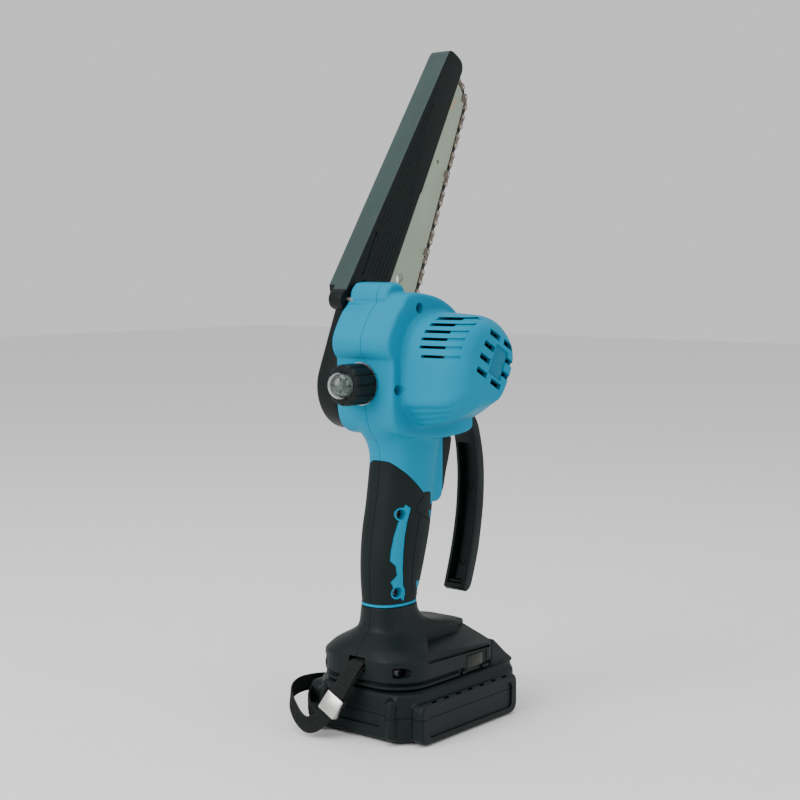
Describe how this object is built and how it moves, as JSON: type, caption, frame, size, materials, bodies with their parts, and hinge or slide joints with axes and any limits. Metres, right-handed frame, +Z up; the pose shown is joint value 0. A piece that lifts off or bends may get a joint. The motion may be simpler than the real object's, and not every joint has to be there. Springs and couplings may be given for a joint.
{
  "type": "cordless pruning chainsaw",
  "caption": "One-handed cordless pruning chainsaw standing on its slide-on battery, with a tilted guide bar, hinged chain cover, hand guard, oiler and wrist strap.",
  "frame": {"origin": "centre of the battery's flat base, on which the saw stands", "axes": "+Z up, +X towards the trigger and the cutting side, +Y towards the guide bar, -Y towards the motor"},
  "size_m": [0.159, 0.1102, 0.3982],
  "materials": {
    "blue_plastic": "satin moulded plastic",
    "black_plastic": "fine spark-eroded texture",
    "cover_black": "satin moulded plastic",
    "grip_rubber": "soft over-mould",
    "clear_dome": "clear",
    "window_plastic": "smoked",
    "bar_steel": "ground",
    "chain_steel": "oiled",
    "steel": "machined",
    "dark_steel": "blackened",
    "bright_metal": "bright",
    "webbing": "ribbed weave",
    "rotor_steel": "laminated stack with windings",
    "gear_brass": "machined",
    "alloy": "die cast",
    "cell_sleeve": "sleeved",
    "board": "lacquered",
    "inner_plastic": "moulded",
    "tank_plastic": "translucent",
    "terminal_plastic": "moulded"
  },
  "bodies": {
    "housing": {"housing_left": "blue_plastic", "housing_right": "blue_plastic", "grip_left": "grip_rubber", "grip_right": "grip_rubber", "foot_left": "black_plastic", "foot_right": "black_plastic", "indicator_window": "window_plastic", "control_board": "board", "terminal_block": "terminal_plastic", "switch_module": "inner_plastic", "motor_can": "steel", "motor_end_cap": "inner_plastic", "gearbox_plate": "alloy", "inner_bearing": "steel", "output_bearing": "steel", "guide_bar": "bar_steel", "saw_chain": "chain_steel", "sprocket_cover": "black_plastic", "bar_stud_1": "steel", "bar_stud_2": "steel", "bar_nut_1": "steel", "bar_nut_2": "steel", "cover_hinge_pin": "steel", "hand_guard": "black_plastic", "oil_reservoir": "tank_plastic", "oiler_washer": "bright_metal", "housing_screw_1": "dark_steel", "housing_screw_2": "dark_steel", "housing_screw_3": "dark_steel", "housing_screw_4": "dark_steel", "foot_screw_1": "dark_steel", "foot_screw_2": "dark_steel", "wrist_strap": "webbing", "strap_ferrule": "bright_metal"},
    "chain_cover": {"chain_cover": "cover_black"},
    "trigger": {"trigger": "black_plastic"},
    "lock_button": {"lock_button": "black_plastic"},
    "rotor": {"rotor": "rotor_steel", "pinion": "gear_brass"},
    "output": {"reduction_gear": "steel", "output_shaft": "steel", "drive_sprocket": "steel"},
    "oiler_collar": {"oiler_collar": "black_plastic"},
    "oiler_dome": {"oiler_dome": "clear_dome"},
    "tension_screw": {"tension_screw": "steel"},
    "tension_block": {"tension_block": "steel"},
    "battery": {"battery_top_case": "black_plastic", "battery_bottom_case": "black_plastic", "cell_1": "cell_sleeve", "cell_2": "cell_sleeve", "cell_3": "cell_sleeve", "cell_4": "cell_sleeve", "cell_5": "cell_sleeve", "battery_board": "board", "release_spring": "steel"},
    "battery_release": {"battery_release_button": "black_plastic"}
  },
  "joints": [
    {"name": "chain_cover_hinge", "type": "hinge", "parent": "housing", "child": "chain_cover", "pos_m": [-0.0372, 0.03, 0.2478], "axis": [0, -1, 0], "range_deg": [0, 70], "stiffness_Nm_per_rad": 0.06, "springref_deg": -28.65},
    {"name": "trigger_slide", "type": "slide", "parent": "housing", "child": "trigger", "axis": [-1, 0, 0], "range_m": [0, 0.006], "stiffness_N_per_m": 700, "springref_m": -0.002},
    {"name": "lock_button_slide", "type": "slide", "parent": "housing", "child": "lock_button", "axis": [0, -1, 0], "range_m": [0, 0.0019], "stiffness_N_per_m": 500, "springref_m": -0.001},
    {"name": "motor_spin", "type": "hinge", "parent": "housing", "child": "rotor", "pos_m": [-0.01, 0, 0.211], "axis": [0, 1, 0], "continuous": true},
    {"name": "output_spin", "type": "hinge", "parent": "housing", "child": "output", "pos_m": [-0.0219, 0, 0.1976], "axis": [0, 1, 0], "continuous": true},
    {"name": "oiler_collar_turn", "type": "hinge", "parent": "housing", "child": "oiler_collar", "pos_m": [-0.055, 0.0025, 0.201], "axis": [-1, 0, 0], "range_deg": [-90, 0]},
    {"name": "oiler_dome_push", "type": "slide", "parent": "housing", "child": "oiler_dome", "axis": [1, 0, 0], "range_m": [0, 0.0022], "stiffness_N_per_m": 500, "springref_m": -0.001},
    {"name": "tension_screw_turn", "type": "hinge", "parent": "housing", "child": "tension_screw", "pos_m": [-0.01825, 0.0247, 0.22952], "axis": [0.4617, 0, 0.887], "range_deg": [-360, 360]},
    {"name": "tension_block_slide", "type": "slide", "parent": "housing", "child": "tension_block", "axis": [0.4617, 0, 0.887], "range_m": [-0.00049, 0.00049]},
    {"name": "battery_slide", "type": "slide", "parent": "housing", "child": "battery", "axis": [1, 0, 0], "range_m": [0, 0.085]},
    {"name": "battery_release_press", "type": "slide", "parent": "battery", "child": "battery_release", "axis": [0, 0, -1], "range_m": [0, 0.0015], "stiffness_N_per_m": 600, "springref_m": -0.001, "deforming": ["release_spring"]}
  ],
  "couplings": [
    {"joint": "output_spin", "follows": "motor_spin", "ratio": -0.33333},
    {"joint": "tension_screw_turn", "follows": "tension_block_slide", "rad_per_m": 12566}
  ]
}
